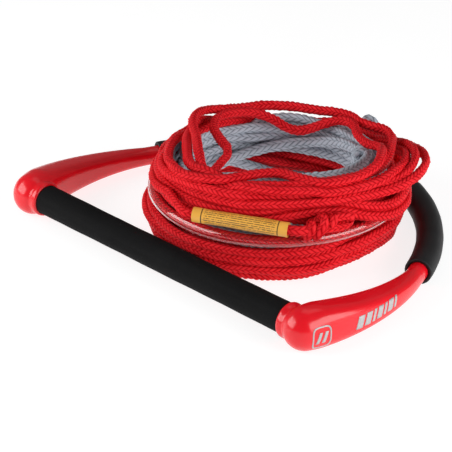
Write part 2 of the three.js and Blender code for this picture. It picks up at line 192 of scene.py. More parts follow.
def lifted(radius, degrees, z):
    """The lower turns hang off the floor a little at the front right."""
    rise = swelling(degrees, 0, 27)
    return radius - 3 * rise * (1 - z / 30), z + 8 * rise * (1 - z / 60)


def drawn_in(radius, degrees, z):
    """The upper turns are drawn in at the left, towards the clear tube's end."""
    return radius - max(0, radius - 108) * 0.6 * swelling(degrees, -142, 38), z


def wound(slots, start, end, seed, shape):
    """Turns of rope from start to end, in degrees, that move from one slot to the next.
    A slot is (radius, z) on the near side and (radius, z) on the far side."""
    draw = random.Random(seed)
    changes = [k + draw.uniform(0.45, 0.95) for k in range(len(slots))]
    waves = [[draw.uniform(0, 6.28) for _ in range(4)] for _ in range(len(slots) + 1)]
    slots = [*slots, slots[-1]]
    made = []
    count = int((end - start) / 360 * POINTS_PER_TURN)
    for i in range(count + 1):
        degrees = start + (end - start) * i / count
        turned = (degrees - start) / 360
        at = sum(float(smooth_step((turned - change) / SLOT_CHANGE)) for change in changes)
        k = min(int(at), len(slots) - 2)
        share = at - k
        values = [a + (b - a) * share for a, b in zip(slots[k], slots[k + 1])]
        near = 0.5 + 0.5 * math.cos(math.radians(degrees - NEAR_SIDE))
        radius = values[2] + (values[0] - values[2]) * near
        z = values[3] + (values[1] - values[3]) * near
        angle = math.radians(degrees)
        phases = waves[min(int(turned), len(slots) - 1)]
        radius += SWAY * math.sin(2 * angle + phases[0]) + SHORT_SWAY * math.sin(5 * angle + phases[1])
        z += HEAVE * math.sin(2 * angle + phases[2]) + SHORT_HEAVE * math.sin(4 * angle + phases[3])
        radius, z = shape(radius, degrees, z)
        made.append((*on_coil(radius, degrees, z), LOOSE))
    return made


def sleeve_point(distance):
    way = unit(np.subtract(SLEEVE_TO, SLEEVE_FROM))
    return tuple(np.add(SLEEVE_FROM, way * distance))


SLEEVE_LENGTH = float(np.linalg.norm(np.subtract(SLEEVE_TO, SLEEVE_FROM)))

LEAD = [
    (0, APEX.y - 1.5, BRIDLE_Z + 13.6),
    (-0.5, APEX.y - 3.5, 33),
    (-4, 149, 42),
    (-13, 140.6, 50),
    (-27, 131.6, 57),
    (-45, 120.6, 61),
]
LOWER_SLOTS = [
    (105, 5, 108, 5), (111, 14.5, 111, 14.5), (102, 10, 96, 16), (103, 21, 97, 28), (112.5, 24, 111, 25),
    (113.5, 5, 117, 5), (119, 14, 120, 14.5), (122, 23.5, 122, 24), (122.5, 33, 121.5, 33.5),
]


def handle_section():
    """From the hitch at the apex into the lower turns, the clear tube, the sleeve and the red knot."""
    points = stretch(LEAD[:5], FIXED)
    points += round_coil([(123, 112, 52), (122, 134, 47), (120, 158, 38), (118, 182, 25)], TRACED)
    points += wound(LOWER_SLOTS, 205, 205 + 360 * 8.35, seed=3, shape=lifted)
    turns = 8 * 360
    points += round_coil([(120, turns + 345, 40), (117, turns + 375, 42)], LOOSE)
    points += round_coil([(115, turns + d, 43) for d in range(395, 520, 22)], LOOSE)
    points += round_coil([(112.5, turns + 538, 46)], TRACED)
    points += stretch([in_clear_tube(d) for d in range(CLEAR_FROM - 14, CLEAR_TO + 15, 13)], FIXED)
    points += round_coil([(121, 44, 49), (118, 62, 51)], TRACED)
    points += round_coil([(115, d, 53) for d in range(84, 200, 22)], LOOSE)
    points += round_coil([(112, 215, 57), (112, 231, 62), (117, 247, 67)], TRACED)
    points += round_coil([(123, -99, 70.5)], FIXED)
    inside = [-7, 0, *(SLEEVE_LENGTH * share for share in (0.35, 0.65, 1))]
    inside += [SLEEVE_LENGTH + 5, SLEEVE_LENGTH + 8]
    points += stretch([sleeve_point(d) for d in inside], FIXED)
    points += stretch([(117.2, -69.5, 65.2), (118.5, -60, 65)], FIXED)
    return points


# The doubled end of the section, behind the red knot.
KNOT_LOOP = [
    (134, -24, 69.5), (134.5, -19, 70.8), (134.5, -16.2, 70.2), (134.5, -14.2, 67.8), (134.5, -14.2, 64),
    (134.5, -16.2, 61.2), (134.5, -19, 60.6), (134, -25, 61.5), (131, -29.6, 63), (125, -30, 64),
    (120, -25, 62.5), (117, -16, 60),
]
# Slots are (radius, z) on the near side, then on the far side.
UPPER_SLOTS = [(112, 59, 107, 43), (113, 71, 107, 53)]
# Two turns that sag over the clear tube's end at the right, each point (radius, degrees, z).
LOW_DRAPE = [
    (118, 15, 46), (121, 60, 44), (123, 100, 43), (121, 140, 45), (113, 180, 51), (110, 215, 56),
    (113, 245, 61), (116, 270, 63), (117, 300, 66), (118, 325, 72), (121, 338, 73.5), (124, 347, 70.5),
    (128, 354, 63), (132, 361, 57.5), (135, 368, 53.5), (135.5, 375, 51.5), (133, 385, 51),
    (127, 399, 52),
]
HIGH_DRAPE = [
    (123, 60, 52), (123.5, 100, 52), (121, 140, 54), (113, 180, 59), (110, 215, 65), (113, 245, 69),
    (117, 270, 71), (119, 300, 75), (120, 325, 80), (122, 340, 80), (125, 350, 74), (129, 358, 68),
    (132, 367, 62.5), (133, 376, 60.5), (131, 388, 60), (125, 402, 55), (122, 430, 50), (121, 470, 50),
    (117, 505, 53), (111, 545, 61), (110, 580, 70), (113, 610, 76),
]
# The top turns, each point (radius, degrees, z) round the coil.
OUTER_LOOP = [
    (119, -80, 79), (120, -60, 82), (121, -40, 84), (122, -22, 83), (127, -2, 81), (137, 12, 83),
    (145, 21, 84), (147.5, 30, 85), (144, 39, 84), (136, 49, 80), (129, 62, 71), (124, 80, 60),
    (123, 105, 55), (121, 130, 54), (112, 160, 60), (102, 184, 74), (96, 201, 82), (99, 213, 84),
    (103, 229, 83), (112, 244, 81),
]
SECOND_LOOP = [
    (116, -105, 85), (120, -80, 88), (120, -60, 90), (120, -40, 91), (120, -20, 90), (126, 0, 88),
    (135, 12, 87), (138, 23, 89), (135, 35, 90), (127, 48, 85), (118, 64, 73), (114, 84, 61),
    (112, 115, 61), (108, 140, 63), (98, 165, 73), (88, 190, 88), (85, 207, 92), (84, 225, 95),
    (89, 246, 96), (100, 263, 95),
]
THIRD_LOOP = [
    (108, -76, 97), (112, -60, 98), (114, -42, 99), (116, -20, 99), (117, -4, 97), (116, 10, 95),
    (113, 22, 93), (112, 33, 92), (113, 44, 90), (115, 54, 88.5), (113, 62, 88), (105, 68, 88),
    (100, 76, 87.5), (102, 86, 87), (100, 96, 86.5), (96, 108, 85.5), (96, 125, 85.5), (97, 141, 85.5),
    (92, 158, 87.5), (88, 172, 93), (89, 188, 97), (83, 209, 99), (76, 232, 100), (84, 256, 99),
    (99, 272, 96),
]
FOURTH_LOOP = [
    (113, -74, 95), (118, -58, 95), (120, -42, 95), (121, -20, 94), (127, -4, 91), (131, 9, 90),
    (131, 23, 90), (127, 36, 87), (119, 50, 78), (111, 66, 67), (106, 84, 62), (104, 120, 61),
    (99, 145, 66), (88, 168, 76), (84, 188, 84), (88, 205, 88), (97, 225, 90), (108, 245, 91),
    (117, 262, 92),
]
INNER_RIM = [
    (121, -88, 95), (120, -79, 98), (115, -69, 99), (104, -62, 101), (94, -53, 101), (92, -42, 101),
    (104, -34, 101), (116, -27, 100), (122, -20, 99), (122, -8, 99), (119, 6, 99), (111, 20, 98),
    (104, 32, 95), (93, 39, 92), (86, 46, 90), (83, 60, 89), (91, 77, 87), (89, 89, 85), (81, 99, 79),
    (75, 112, 71), (74, 123, 71), (79, 137, 79), (80, 150, 86), (79, 162, 89), (77, 178, 92),
    (72, 187, 94), (65, 201, 94), (53, 224, 93), (50, 249, 93), (58, 264, 93), (73, 271, 92),
    (88, 275, 89), (98, 283, 84), (104, 300, 78), (105, 315, 75), (104, 335, 70), (102, 360, 64),
    (98, 385, 62), (91, 400, 68), (86, 404, 74),
]


def middle_section():
    """From the red knot through its loop into the upper turns, the top loops and the grey knot."""
    points = round_coil(KNOT_LOOP, FIXED)
    points += wound(UPPER_SLOTS, 5, 360 + 320, seed=11, shape=drawn_in)
    points += round_coil(LOW_DRAPE, TRACED)
    points += round_coil(HIGH_DRAPE, TRACED)
    for loop in (OUTER_LOOP, SECOND_LOOP, THIRD_LOOP, FOURTH_LOOP, INNER_RIM):
        points += round_coil(loop, TRACED)
    return points


GREY_START = [
    (84, 45, 75), (81, 54, 75), (79, 68, 72), (80, 85, 66), (81, 105, 58), (82, 125, 51), (83, 145, 44),
    (86, 165, 37), (90, 185, 32), (94, 203, 29),
]
GREY_SLOTS = [
    (97, 24, 89, 15), (97, 36, 92, 43), (97, 50, 100, 45), (97, 60, 90, 51), (97, 70, 90, 60),
    (87, 91, 91, 68), (105, 66, 99, 61), (105, 50, 99, 49),
]
# The one grey turn that shows in the waist, under the sleeve.
GREY_SHOWING = [
    (103, -150, 50), (104, -125, 51), (107, -102, 53), (116, -82, 55.5), (119, -66, 55.5),
    (117, -50, 55.5), (108, -32, 57), (105, 0, 62),
]
GREY_EYE = [
    (104, 18, 61), (106, 38, 56), (112, 56, 52), (121, 70, 51), (129, 79, 53), (132.8, 83.3, 58),
    (134, 84.8, 65), (134, 86.8, 70.8), (134, 90.2, 70.8), (134, 92.2, 65), (133, 93.6, 58.5),
    (129, 98, 54), (122, 107, 51), (117, 118, 50),
]


def grey_section():
    """From the grey knot down across the far wall, round the inner turns, and out to the eye."""
    points = round_coil(GREY_START, TRACED)
    points += wound(GREY_SLOTS, 225, 225 + 360 * 7.9, seed=29, shape=drawn_in)
    points += round_coil(GREY_SHOWING, TRACED)
    points += round_coil([(104, 24, 62), (101, 60, 61), (99, 100, 62), (99, 140, 63)], LOOSE)
    rising = [(101, 180, 67), (103, 220, 73), (104, 260, 77), (104, 300, 76), (103, 340, 68)]
    points += round_coil(rising, LOOSE)
    points += round_coil(GREY_EYE, TRACED)
    return points


# ------------------------------------------------------- settling of the turns
SETTLE_SPACING = 6.0
SETTLE_ROUNDS = 260
NEIGHBOUR_REACH = 13.5
LOWEST, HIGHEST = 6.0, 101.2
TUBE_CLEARANCE = CLEAR_RADIUS + 5.6
SLEEVE_CLEARANCE = SLEEVE_RADIUS + 4.8
TUBE_MARGIN = 10  # degrees past each end of the clear tube, which slides
LARGEST_PUSH = 3
FLOAT_CLEARANCE = 13.2 + 4.6
ARC_CENTRES = ((-43.6, -79.5), (43.6, -79.5))
ARC_RADIUS = 242
FLOATS_FROM_Y = -70


def keep_clear_of_hardware(p, free):
    """Moves free points off the floor, the clear tube, the sleeve and the floats."""
    p[:, 2] = np.clip(p[:, 2], LOWEST, HIGHEST)
    flat = p[:, :2] - CLEAR_CENTRE
    radius = np.linalg.norm(flat, axis=1)
    degrees = np.degrees(np.arctan2(flat[:, 1], flat[:, 0]))
    by_tube = (degrees > CLEAR_FROM - TUBE_MARGIN) & (degrees < CLEAR_TO + TUBE_MARGIN)
    off = np.stack([radius - CLEAR_PATH_RADIUS, p[:, 2] - CLEAR_Z], axis=1)
    away = np.linalg.norm(off, axis=1)
    push = np.clip(TUBE_CLEARANCE - away, 0, LARGEST_PUSH) * by_tube * free
    radial = flat / np.maximum(radius, 1)[:, None]
    p[:, :2] += radial * (off[:, 0] / np.maximum(away, 0.1) * push)[:, None]
    p[:, 2] += off[:, 1] / np.maximum(away, 0.1) * push
    start = np.array(SLEEVE_FROM, float)
    way = np.subtract(SLEEVE_TO, SLEEVE_FROM)
    share = np.clip((p - start) @ way / (way @ way), 0, 1)
    gap = p - (start + share[:, None] * way)
    away = np.linalg.norm(gap, axis=1)
    push = np.clip(SLEEVE_CLEARANCE - away, 0, LARGEST_PUSH) * free
    p += gap / np.maximum(away, 0.1)[:, None] * push[:, None]
    for side, centre in zip((1, -1), ARC_CENTRES):
        outward = p[:, :2] - centre
        reach = np.linalg.norm(outward, axis=1)
        off = np.stack([reach - ARC_RADIUS, p[:, 2] - BRIDLE_Z], axis=1)
        away = np.linalg.norm(off, axis=1)
        beside = (side * p[:, 0] > 0) & (p[:, 1] > FLOATS_FROM_Y)
        push = np.clip(FLOAT_CLEARANCE - away, 0, LARGEST_PUSH) * beside * free
        p[:, :2] += outward / reach[:, None] * (off[:, 0] / np.maximum(away, 0.1) * push)[:, None]
        p[:, 2] += off[:, 1] / np.maximum(away, 0.1) * push


def settle(routes, thicknesses):
    """Lets the turns of every section push each other apart until they lie side by side."""
    paths = [evenly(smooth_curve(route), SETTLE_SPACING) for route in routes]
    starts = np.cumsum([0, *[len(path) for path in paths]])
    target = np.vstack(paths)
    hold = np.clip(target[:, 3], 0, 1)
    target = target[:, :3]
    p = target.copy()
    section = np.concatenate([np.full(len(path), k) for k, path in enumerate(paths)])
    thickness = np.array(thicknesses)[section]
    order = np.arange(len(p))
    stretch_z = np.array([1, 1, RED_THICKNESS / RED_WIDTH])
    free = np.where(hold > 0.95, 0.0, 1.0)
    pull = np.where(hold > 0.2, 0.06, 0.012) * free
    for round_number in range(SETTLE_ROUNDS):
        if round_number % 8 == 0:
            q = (p * stretch_z).astype(np.float32)
            square = (q * q).sum(1)
            distance = square[:, None] + square[None] - 2 * q @ q.T
            i, j = np.nonzero(distance < NEIGHBOUR_REACH**2)
            apart = (section[i] != section[j]) | (np.abs(order[i] - order[j]) > 3)
            keep = apart & (i != j)
            i, j = i[keep], j[keep]
            wanted = (thickness[i] + thickness[j]) / 2
            share = 0.42 * free[j] / np.maximum(free[i] + free[j], 0.5)
        tangent = np.empty_like(p)
        for a, b in zip(starts, starts[1:]):
            tangent[a:b] = tangents_of(p[a:b])
        tangent = unit(tangent * stretch_z)
        offset = (p[j] - p[i]) * stretch_z
        along = (offset * tangent[i]).sum(1)
        across = offset - along[:, None] * tangent[i]
        gap = np.linalg.norm(across, axis=1)
        overlap = np.clip(wanted - gap, 0, 2.5) * (np.abs(along) < SETTLE_SPACING * 0.8)
        move = across / np.maximum(gap, 0.2)[:, None] * (overlap * share)[:, None] / stretch_z
        shift = np.zeros_like(p)
        np.add.at(shift, j, move)
        size = np.linalg.norm(shift, axis=1)
        p += shift * np.minimum(1, 1.2 / np.maximum(size, 1e-6))[:, None]
        moved = p - target
        for a, b in zip(starts, starts[1:]):
            inner = moved[a:b]
            even = inner.copy()
            even[1:-1] = (inner[:-2] + inner[2:]) / 2
            moved[a:b] += (even - inner) * 0.35
        moved *= (1 - pull)[:, None]
        p = target + moved * free[:, None]
        keep_clear_of_hardware(p, free)
    return [p[a:b] for a, b in zip(starts, starts[1:])]


# -------------------------------------------------------------------- rope meshes
ROPE_SIDES = 12  # two for each of the braid's six columns
ZIGZAG = 2.5  # how far the stitches' ends are drawn along the rope
STITCH_RISE, STITCH_DIP, GROOVE = 0.5, -0.35, -0.38


def cross_axes(path, wide_hint):
    """Unit vectors across the path: the first is along the rope's wide side."""
    tangent = tangents_of(path)
    hint = wide_hint - (wide_hint * tangent).sum(1, keepdims=True) * tangent
    window = np.hanning(25)
    window /= window.sum()
    padded = np.pad(hint, ((12, 12), (0, 0)), mode="edge")
    wide = np.stack([np.convolve(column, window, "valid") for column in padded.T], axis=1)
    wide = unit(wide - (wide * tangent).sum(1, keepdims=True) * tangent)
    return tangent, wide, np.cross(tangent, wide)


def coil_hint(path, seed):
    """On the coil's wall a rope stands on edge, and on its rim it lies over, with a little twist."""
    outward = path[:, :3] * (1, 1, 0) - (0, COIL_Y, 0)
    outward = unit(outward)
    lean = 0.75 * smooth_step((path[:, 2] - 86) / 12)
    hint = np.array([0, 0, 1.0]) * (1 - lean)[:, None] - outward * lean[:, None]
    twist = uneven(len(path), 45, 0.32, np.random.default_rng(seed))
    return hint + outward * twist[:, None]


def new_mesh(name, vertices, faces, smooth=True):
    mesh = bpy.data.meshes.new(name)
    mesh.from_pydata(vertices, [], faces)
    mesh.polygons.foreach_set("use_smooth", [smooth] * len(mesh.polygons))
    obj = bpy.data.objects.new(name, mesh)
    bpy.context.scene.collection.objects.link(obj)
    return obj


def uneven(count, every, spread, draw):
    """Slow random changes along a rope."""
    stations = np.arange(0, count + every, every)
    return np.interp(np.arange(count), stations, draw.normal(0, spread, len(stations)))


def rounder_in_tube(path):
    """The flat braid fills out to a round one where it runs through the clear tube."""
    off = path[:, :2] - CLEAR_CENTRE
    degrees = np.degrees(np.arctan2(off[:, 1], off[:, 0]))
    on_arc = np.abs(np.linalg.norm(off, axis=1) - CLEAR_PATH_RADIUS) + np.abs(path[:, 2] - CLEAR_Z) < 1
    inside = on_arc & (degrees > CLEAR_FROM) & (degrees < CLEAR_TO)
    return RED_THICKNESS + (RED_WIDTH - RED_THICKNESS + 0.2) * inside


def braided_rope(name, path, width, thickness, seed, hint=None, stitch=STITCH):
    """A hollow braid along the path, its stitches in six columns that slant by turns left and right."""
    draw = np.random.default_rng(seed)
    path = evenly(smooth_curve(path[:, :3], 6), stitch / RINGS_PER_STITCH)
    if hint is None:
        hint = np.tile([0.0, 0.0, 1.0], (len(path), 1))
    elif callable(hint):
        hint = hint(path)
    tangent, wide, thick = cross_axes(path, hint)
    if callable(thickness):
        thickness = thickness(path)[:, None]
    count = len(path)
    ring = np.arange(count)[:, None]
    side = np.arange(ROPE_SIDES)[None]
    column = side // 2
    is_groove = side % 2 == 0
    along = ring / RINGS_PER_STITCH + 0.5 * (column % 2)
    plump = draw.uniform(0.55, 1.3, (count // RINGS_PER_STITCH + 3, ROPE_SIDES // 2))
    plump = plump[np.floor(along).astype(int), column]
    crown = STITCH_DIP + (STITCH_RISE - STITCH_DIP) * np.sin(np.pi * (along % 1)) ** 0.7 * plump
    rise = np.where(is_groove, GROOVE, crown) * width / RED_WIDTH
    slide = np.where(is_groove, np.where(column % 2 == 0, ZIGZAG, -ZIGZAG), 0.0) * stitch / STITCH
    ends = np.minimum(ring, count - 1 - ring)
    taper = np.clip((ends + 0.6) / 2.2, 0, 1) ** 0.5
    slide = slide * np.clip(ends / 2, 0, 1)
    flatter = np.clip(uneven(count, 18, 0.045, draw), -0.06, 0.06)[:, None]
    angle = 2 * np.pi * side / ROPE_SIDES
    a = (np.cos(angle) * (width / 2 * (1 + flatter) + rise) * taper)[..., None]
    b = (np.sin(angle) * (thickness / 2 * (1 - flatter) + rise) * taper)[..., None]
    body = path[:, None] + a * wide[:, None] + b * thick[:, None] + slide[..., None] * tangent[:, None]
    vertices = body.reshape(-1, 3) * MM
    first = (ring[:-1] * ROPE_SIDES + side).ravel()
    second = (ring[:-1] * ROPE_SIDES + (side + 1) % ROPE_SIDES).ravel()
    quads = np.stack([first, second, second + ROPE_SIDES, first + ROPE_SIDES], axis=1)
    last = (count - 1) * ROPE_SIDES
    caps = [list(range(ROPE_SIDES))[::-1], [last + k for k in range(ROPE_SIDES)]]
    obj = new_mesh(name, vertices.tolist(), quads.tolist() + caps)
    u0 = np.broadcast_to(ring[:-1] / RINGS_PER_STITCH, (count - 1, ROPE_SIDES)).ravel()
    v0 = np.broadcast_to(side / 2, (count - 1, ROPE_SIDES)).ravel()
    u = np.stack([u0, u0, u0 + 1 / RINGS_PER_STITCH, u0 + 1 / RINGS_PER_STITCH], axis=1)
    v = np.stack([v0, v0 + 0.5, v0 + 0.5, v0], axis=1)
    uv = np.stack([u, v], axis=2).reshape(-1, 2)
    uv = np.vstack([uv, np.full((2 * ROPE_SIDES, 2), 0.5)])
    layer = obj.data.uv_layers.new(name="braid")
    layer.data.foreach_set("uv", uv.astype(np.float32).ravel())
    return obj, path


# ---------------------------------------------------------------------- materials
class Shader:
    """A material and short ways to add and join its nodes."""

    def __init__(self, name, **values):
        self.material = bpy.data.materials.new(name)
        self.material.use_nodes = True
        self.tree = self.material.node_tree
        self.main = self.tree.nodes["Principled BSDF"]
        for socket, value in values.items():
            self.main.inputs[socket.replace("_", " ")].default_value = value

    def node(self, kind, **settings):
        made = self.tree.nodes.new("ShaderNode" + kind)
        for key, value in settings.items():
            if key.startswith("in_"):
                name = key[3:].replace("_", " ")
                made.inputs[int(name) if name.isdigit() else name].default_value = value
            else:
                setattr(made, key, value)
        return made

    def join(self, out, into):
        self.tree.links.new(out, into)

    def fill(self, made, values):
        """Links or sets the first inputs of a node, and returns its first output."""
        for socket, value in zip(made.inputs, values):
            if hasattr(value, "node"):
                self.join(value, socket)
            else:
                socket.default_value = value
        return made.outputs[0]

    def math(self, operation, *values, clamp=False):
        return self.fill(self.node("Math", operation=operation, use_clamp=clamp), values)

    def times(self, a, b):
        return self.math("MULTIPLY", a, b)

    def place(self):
        return self.node("TexCoord").outputs["Object"]

    def noise(self, scale, vector=None, detail=3.0, roughness=0.55):
        made = self.node("TexNoise", in_Scale=scale, in_Detail=detail, in_Roughness=roughness)
        self.join(self.place() if vector is None else vector, made.inputs["Vector"])
        return made.outputs["Fac"]

    def vector(self, x, y, z=0.0):
        return self.fill(self.node("CombineXYZ"), (x, y, z))

    def ramp(self, fac, *stops):
        made = self.node("ValToRGB")
        elements = made.color_ramp.elements
        while len(elements) < len(stops):
            elements.new(0.5)
        for element, (position, color) in zip(elements, stops):
            element.position = position
            element.color = (*color, 1)
        self.join(fac, made.inputs["Fac"])
        return made.outputs["Color"]

    def mix(self, fac, a, b):
        made = self.node("Mix", data_type="RGBA")
        for socket, value in ((made.inputs[0], fac), (made.inputs[6], a), (made.inputs[7], b)):
            if hasattr(value, "node"):
                self.join(value, socket)
            else:
                socket.default_value = (*value, 1) if isinstance(value, tuple) else value
        return made.outputs[2]

    def bump(self, height, strength, distance):
        made = self.node("Bump", in_Strength=strength, in_Distance=distance)
        self.join(height, made.inputs["Height"])
        self.join(made.outputs[0], self.main.inputs["Normal"])

    def color(self, out):
        self.join(out, self.main.inputs["Base Color"])

    def roughness(self, fac, low, high):
        made = self.node("MapRange", in_3=low, in_4=high)
        self.join(fac, made.inputs[0])
        self.join(made.outputs[0], self.main.inputs["Roughness"])


def rope_material(name, dark, base, light, roughness):
    """Braided line: fibres run along each stitch; painted shade darkens the gaps between stitches, and a
    painted highlight lightens each stitch's crown.
    """
    s = Shader(name, Roughness=roughness)
    s.main.inputs["Specular IOR Level"].default_value = 0.04
    uv = s.node("UVMap", uv_map="braid").outputs[0]
    parts = s.node("SeparateXYZ")
    s.join(uv, parts.inputs[0])
    u, v = parts.outputs[0], parts.outputs[1]
    column = s.math("FLOOR", v)
    across = s.math("FRACT", v)
    odd = s.math("MODULO", column, 2.0)
    phase = s.math("FRACT", s.math("MULTIPLY_ADD", odd, 0.5, u))
    crown = s.math("SINE", s.times(phase, math.pi))
    belly = s.math("SINE", s.times(across, math.pi))
    crown = s.math("POWER", crown, 0.55)
    belly = s.math("POWER", belly, 0.5)
    # leaf is high on each stitch's crown and low in the gaps. It shapes the bump, and it also drives the
    # painted shade and the painted highlight in the colour.
    leaf = s.times(crown, s.math("MULTIPLY_ADD", belly, 0.5, 0.5))
    fibre_place = s.vector(s.times(phase, 7.0), s.times(v, 0.9), s.math("FLOOR", u))
    fibres = s.noise(2.2, fibre_place, 2.0, 0.6)
    patches = s.noise(38.0, detail=2.0)
    own = s.node("TexWhiteNoise", noise_dimensions="2D")
    s.join(s.vector(s.math("FLOOR", s.math("MULTIPLY_ADD", odd, 0.5, u)), column), own.inputs["Vector"])
    shade = s.math("MULTIPLY_ADD", fibres, 0.42, s.math("MULTIPLY_ADD", patches, 0.2, -0.3))
    shade = s.math("MULTIPLY_ADD", own.outputs["Value"], 0.24, shade)
    tone = s.math("ADD", leaf, shade, clamp=True)
    # The ramp's dark stop is painted shade in the gaps, and its light stop is a painted highlight on the
    # crowns. Fibres, patches and a random tone per stitch vary both.
    s.color(s.ramp(tone, (0.08, dark), (0.5, base), (1.0, light)))
    height = s.math("MULTIPLY_ADD", fibres, 0.4, leaf)
    s.bump(height, 0.5, 0.001)
    s.roughness(fibres, roughness - 0.1, roughness + 0.14)
    return s.material


def moulded_red():
    """Glossy cast urethane with a faint orange peel and cloudy depth."""
    s = Shader("red_urethane", Roughness=0.18, Coat_Weight=0.12, Coat_Roughness=0.06)
    s.main.inputs["Specular IOR Level"].default_value = 0.45
    s.main.inputs["Subsurface Weight"].default_value = 0.08
    s.main.inputs["Subsurface Radius"].default_value = (0.006, 0.0015, 0.001)
    cloud = s.noise(26.0, detail=4.0)
    s.color(s.ramp(cloud, (0.3, (0.74, 0.004, 0.011)), (0.7, (0.83, 0.007, 0.018))))
    peel = s.noise(420.0, detail=2.0)
    s.bump(peel, 0.05, 0.0004)
    s.roughness(s.noise(70.0), 0.15, 0.28)
    return s.material


def grip_rubber():
    """Matt foamed rubber: fine pores, faint lengthwise streaks and slight wear."""
    s = Shader("black_grip", Roughness=0.82)
    s.main.inputs["Specular IOR Level"].default_value = 0.13
    place = s.place()
    stretch_along = s.node("Mapping")
    stretch_along.inputs["Scale"].default_value = (0.06, 1, 1)
    s.join(place, stretch_along.inputs["Vector"])
    streaks = s.noise(190.0, stretch_along.outputs[0], 3.0)
    pores = s.noise(900.0, detail=3.0, roughness=0.7)
    blotches = s.noise(30.0, detail=3.0)
    tone = s.math("MULTIPLY_ADD", streaks, 0.45, s.times(blotches, 0.5))
    s.color(s.ramp(tone, (0.25, (0.0015, 0.0015, 0.0017)), (0.75, (0.0065, 0.0065, 0.007))))
    height = s.math("MULTIPLY_ADD", streaks, 0.5, pores)
    s.bump(height, 0.45, 0.0005)
    s.roughness(pores, 0.72, 0.92)
    return s.material


def closed_cell_foam(name, dark, light):
    """Extruded foam with a smooth skin, small pores and dust."""
    s = Shader(name, Roughness=0.6)
    s.main.inputs["Specular IOR Level"].default_value = 0.3
    cells = s.node("TexVoronoi", in_Scale=820.0)
    s.join(s.place(), cells.inputs["Vector"])
    blotches = s.noise(45.0, detail=4.0)
    tone = s.math("MULTIPLY_ADD", cells.outputs["Distance"], 0.3, s.times(blotches, 0.7))
    s.color(s.ramp(tone, (0.25, dark), (0.75, light)))
    s.bump(s.math("MULTIPLY_ADD", blotches, 0.6, cells.outputs["Distance"]), 0.3, 0.0004)
    s.roughness(blotches, 0.45, 0.7)
    return s.material


def clear_vinyl():
    """Soft clear hose: a little cloudy, with shallow waves that break up its shine."""
    s = Shader("clear_vinyl", Roughness=0.05, Transmission_Weight=1.0, IOR=1.22)
    s.color(s.ramp(s.noise(40.0), (0.3, (0.97, 0.97, 0.97)), (0.7, (1.0, 1.0, 1.0))))
    s.main.inputs["Coat Weight"].default_value = 0.6
    s.main.inputs["Coat IOR"].default_value = 1.5
    s.bump(s.noise(45.0, detail=2.0), 0.1, 0.0006)
    s.roughness(s.noise(90.0), 0.03, 0.1)
    return s.material


def sleeve_yellow():
    """Shrunk plastic sleeve: a thin ring near each end, and ruled lines of plain dashes."""
    s = Shader("yellow_sleeve", Roughness=0.35)
    s.main.inputs["Specular IOR Level"].default_value = 0.45
    uv = s.node("UVMap", uv_map="sleeve").outputs[0]
    parts = s.node("SeparateXYZ")
    s.join(uv, parts.inputs[0])
    along, around = parts.outputs[0], parts.outputs[1]
    from_end = s.math("MINIMUM", along, s.math("SUBTRACT", 1.0, along))
    ring = s.math("COMPARE", from_end, 0.1, 0.0055)
    in_panel = s.math("GREATER_THAN", from_end, 0.13)
    rule = s.math("COMPARE", s.math("FRACT", s.times(around, 6.0)), 0.5, 0.035)
    rule = s.times(rule, s.math("GREATER_THAN", from_end, 0.1))
    row = s.times(around, 21.0)
    row_ink = s.math("COMPARE", s.math("FRACT", row), 0.5, 0.18)
    dash_place = s.vector(s.times(along, 62.0), s.times(s.math("FLOOR", row), 9.7))
    dash = s.math("GREATER_THAN", s.noise(1.0, dash_place, 0.0), 0.42)
    dashes = s.times(s.times(row_ink, dash), in_panel)
    ink = s.math("MAXIMUM", ring, s.times(rule, 0.6))
    ink = s.math("MAXIMUM", ink, s.times(dashes, 0.85))
    cloud = s.noise(60.0, detail=3.0)
    ground = s.ramp(cloud, (0.3, (0.76, 0.37, 0.05)), (0.7, (0.82, 0.43, 0.07)))
    s.color(s.mix(ink, ground, (0.05, 0.03, 0.012)))
    s.bump(cloud, 0.25, 0.0006)
    s.roughness(cloud, 0.28, 0.45)
    return s.material


def brushed_aluminium():
    s = Shader("bar_aluminium", Metallic=1.0, Roughness=0.3)
    mapping = s.node("Mapping")
    mapping.inputs["Scale"].default_value = (0.02, 1, 1)
    s.join(s.place(), mapping.inputs["Vector"])
    lines = s.noise(900.0, mapping.outputs[0], 3.0)
    s.color(s.ramp(lines, (0.3, (0.42, 0.43, 0.45)), (0.7, (0.62, 0.63, 0.65))))
    s.bump(lines, 0.2, 0.0002)
    s.roughness(lines, 0.25, 0.42)
    return s.material


def silver_print():
    s = Shader("silver_print", Roughness=0.35, Metallic=0.35)
    grain = s.noise(700.0, detail=2.0)
    s.color(s.ramp(grain, (0.3, (0.42, 0.41, 0.41)), (0.7, (0.55, 0.54, 0.54))))
    s.roughness(grain, 0.3, 0.45)
    s.bump(grain, 0.05, 0.0002)
    return s.material


def floor_white():
    s = Shader("floor", Roughness=0.6, Emission_Strength=0.82)
    s.main.inputs["Emission Color"].default_value = (1, 1, 1, 1)
    s.color(s.ramp(s.noise(6.0), (0.3, (0.3, 0.3, 0.3)), (0.7, (0.32, 0.32, 0.32))))
    return s.material
